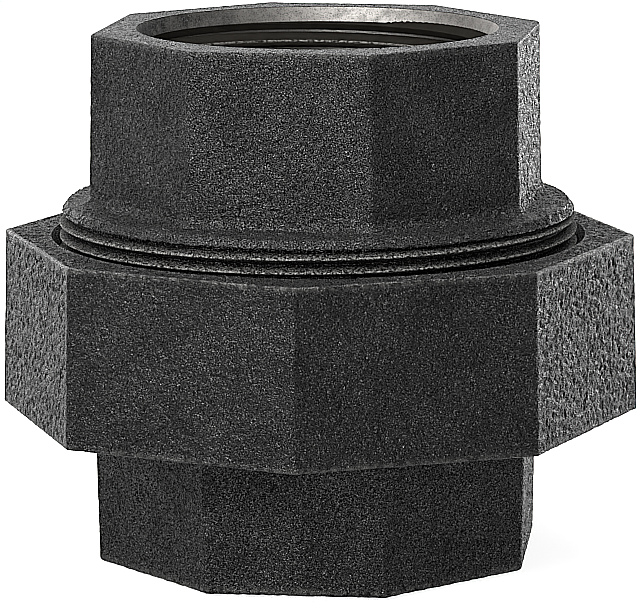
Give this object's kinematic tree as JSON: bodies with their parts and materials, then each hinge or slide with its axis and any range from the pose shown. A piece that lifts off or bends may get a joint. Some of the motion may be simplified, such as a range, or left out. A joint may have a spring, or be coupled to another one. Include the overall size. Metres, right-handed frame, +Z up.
{
  "type": "pipe union",
  "caption": "Black iron pipe union: octagonal threaded end and tail end drawn together on a brass ground seat by an octagonal nut.",
  "frame": {"origin": "centre of the tail end's octagonal face, on the pipe axis, where the part stands", "axes": "+Z up the pipe axis from the tail end to the threaded end; the pictured side faces -Y, with +X to its right"},
  "size_m": [0.0772, 0.0772, 0.064],
  "materials": {
    "tail_iron": "sand-cast black iron, lightly oiled, with fine grain",
    "nut_iron": "sand-cast black iron, lightly oiled, with fine grain",
    "head_iron": "sand-cast black iron, lightly oiled, with a machined end face and cut threads",
    "seat_brass": "turned brass with a ground conical face"
  },
  "bodies": {
    "tail": {"tail_end": "tail_iron"},
    "nut": {"union_nut": "nut_iron"},
    "seat": {"brass_seat": "seat_brass"},
    "head": {"thread_end": "head_iron"}
  },
  "joints": [
    {"name": "nut_swivel", "type": "hinge", "parent": "tail", "child": "nut", "pos_m": [0, 0, 0], "axis": [0, 0, 1], "continuous": true},
    {"name": "head_lift", "type": "slide", "parent": "nut", "child": "seat", "axis": [0, 0, 1], "range_m": [0, 0.00953]},
    {"name": "head_unscrew", "type": "hinge", "parent": "seat", "child": "head", "pos_m": [0, 0, 0], "axis": [0, 0, 1], "range_deg": [0, 2160]}
  ],
  "couplings": [
    {"joint": "head_lift", "follows": "head_unscrew", "m_per_rad": 0.00025266}
  ]
}
